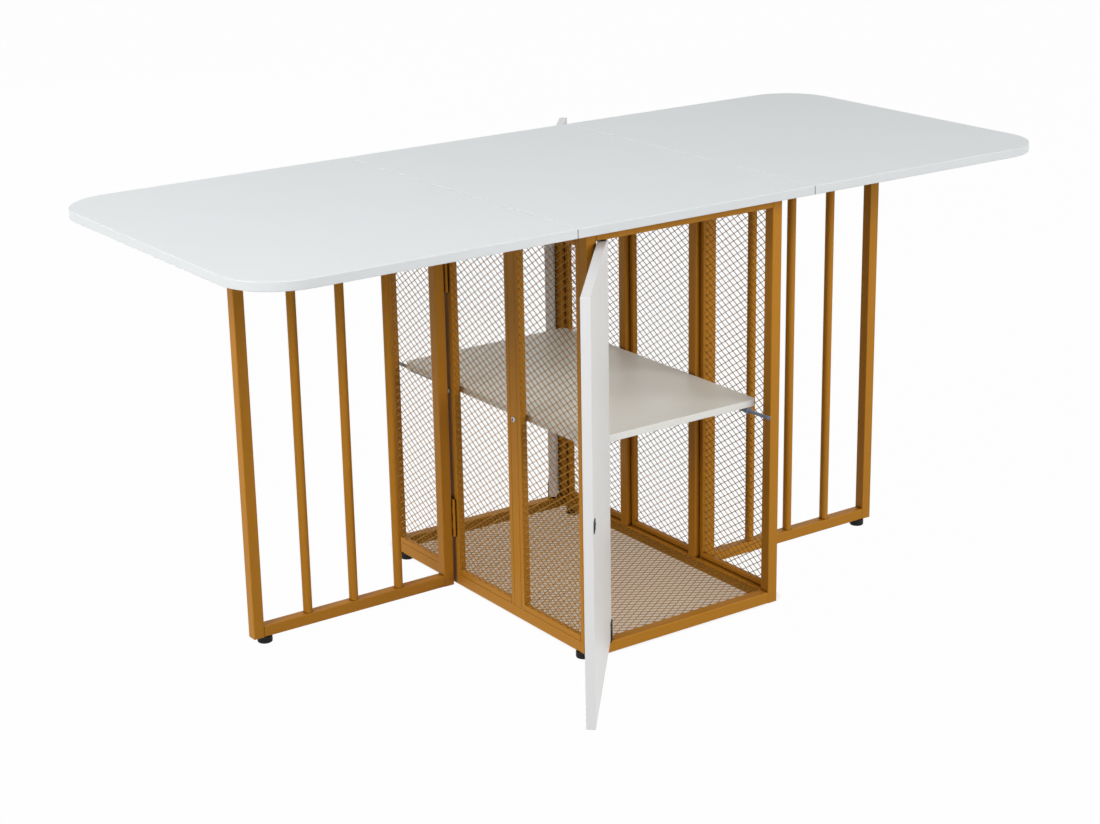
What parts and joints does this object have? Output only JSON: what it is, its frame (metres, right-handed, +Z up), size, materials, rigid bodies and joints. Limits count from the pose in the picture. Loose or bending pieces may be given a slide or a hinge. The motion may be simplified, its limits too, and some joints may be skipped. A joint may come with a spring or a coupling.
{
  "type": "dining table with shelves",
  "caption": "Drop-leaf dining table on an open tube-framed cabinet with mesh sides, a shelf, front and rear doors and swing-out gates that carry the leaves.",
  "frame": {"origin": "on the floor below the middle of the table top", "axes": "+X to the right along the table, +Y to the rear, +Z up; millimetres in the source"},
  "size_m": [1.6, 1.1418, 0.75],
  "materials": {
    "white_board": "satin white melamine-faced board with matching edge band",
    "gold_frame": "satin gold powder coat on steel tube",
    "gold_mesh": "satin gold powder coat on expanded steel sheet",
    "black_plastic": "matt black moulded plastic",
    "zinc_steel": "bright zinc-plated steel",
    "dark_steel": "dark blackened steel",
    "grey_plastic": "grey moulded plastic"
  },
  "bodies": {
    "cabinet": {"base_mesh": "gold_mesh", "cabinet_feet": "black_plastic", "centre_panel": "white_board", "door_pivot_bushes": "black_plastic", "front_bottom_rail": "gold_frame", "front_left_post": "gold_frame", "front_right_post": "gold_frame", "front_top_rail": "gold_frame", "gate_hinge_plates": "gold_frame", "hinge_pins": "zinc_steel", "latch_bodies": "grey_plastic", "leaf_hinge_plates": "zinc_steel", "left_bottom_rail": "gold_frame", "left_front_mesh": "gold_mesh", "left_hinge_post": "gold_frame", "left_mid_post": "gold_frame", "left_middle_mesh": "gold_mesh", "left_panel_frames": "gold_frame", "left_rear_mesh": "gold_mesh", "left_top_rail": "gold_frame", "panel_screws": "zinc_steel", "rear_bottom_rail": "gold_frame", "rear_left_post": "gold_frame", "rear_right_post": "gold_frame", "rear_top_rail": "gold_frame", "right_bottom_rail": "gold_frame", "right_front_mesh": "gold_mesh", "right_hinge_post": "gold_frame", "right_mid_post": "gold_frame", "right_middle_mesh": "gold_mesh", "right_panel_frames": "gold_frame", "right_rear_mesh": "gold_mesh", "right_top_rail": "gold_frame", "shelf": "white_board", "shelf_bolts": "zinc_steel", "shelf_spacers": "black_plastic"},
    "left_leaf": {"left_leaf_hinge_plates": "zinc_steel", "left_leaf_panel": "white_board"},
    "right_leaf": {"right_leaf_hinge_plates": "zinc_steel", "right_leaf_panel": "white_board"},
    "left_gate": {"left_gate_bars": "gold_frame", "left_gate_bottom_rail": "gold_frame", "left_gate_hinge_leaves": "gold_frame", "left_gate_hinge_stile": "gold_frame", "left_gate_outer_post": "gold_frame", "left_gate_pads": "black_plastic", "left_gate_top_rail": "gold_frame"},
    "right_gate": {"right_gate_bars": "gold_frame", "right_gate_bottom_rail": "gold_frame", "right_gate_hinge_leaves": "gold_frame", "right_gate_hinge_stile": "gold_frame", "right_gate_outer_post": "gold_frame", "right_gate_pads": "black_plastic", "right_gate_top_rail": "gold_frame"},
    "front_door": {"front_door_fittings": "dark_steel", "front_door_panel": "white_board"},
    "rear_door": {"rear_door_fittings": "dark_steel", "rear_door_panel": "white_board"},
    "front_plunger": {"front_plunger": "grey_plastic"},
    "rear_plunger": {"rear_plunger": "grey_plastic"}
  },
  "joints": [
    {"name": "left_leaf_lift", "type": "hinge", "parent": "cabinet", "child": "left_leaf", "pos_m": [-0.24, 0, 0.7325], "axis": [0, 1, 0], "range_deg": [0, 3.5]},
    {"name": "left_gate_swing", "type": "hinge", "parent": "cabinet", "child": "left_gate", "pos_m": [-0.2032, 0.08967, 0.37], "axis": [0, 0, 1], "range_deg": [0, 90]},
    {"name": "front_door_close", "type": "hinge", "parent": "cabinet", "child": "front_door", "pos_m": [-0.1635, -0.3075, 0.3745], "axis": [0, 0, 1], "range_deg": [0, 130.5]},
    {"name": "front_plunger_push", "type": "slide", "parent": "cabinet", "child": "front_plunger", "axis": [0, 1, 0], "range_m": [0, 0.037]},
    {"name": "right_leaf_lift", "type": "hinge", "parent": "cabinet", "child": "right_leaf", "pos_m": [0.24, 0, 0.7325], "axis": [0, -1, 0], "range_deg": [0, 3.5]},
    {"name": "right_gate_swing", "type": "hinge", "parent": "cabinet", "child": "right_gate", "pos_m": [0.2032, -0.08967, 0.37], "axis": [0, 0, 1], "range_deg": [0, 90]},
    {"name": "rear_door_close", "type": "hinge", "parent": "cabinet", "child": "rear_door", "pos_m": [0.1635, 0.3075, 0.3745], "axis": [0, 0, 1], "range_deg": [0, 130.5]},
    {"name": "rear_plunger_push", "type": "slide", "parent": "cabinet", "child": "rear_plunger", "axis": [0, -1, 0], "range_m": [0, 0.037]}
  ],
  "couplings": [
    {"joint": "front_plunger_push", "follows": "front_door_close", "m_per_rad": 0.01624},
    {"joint": "rear_plunger_push", "follows": "rear_door_close", "m_per_rad": 0.01624}
  ]
}
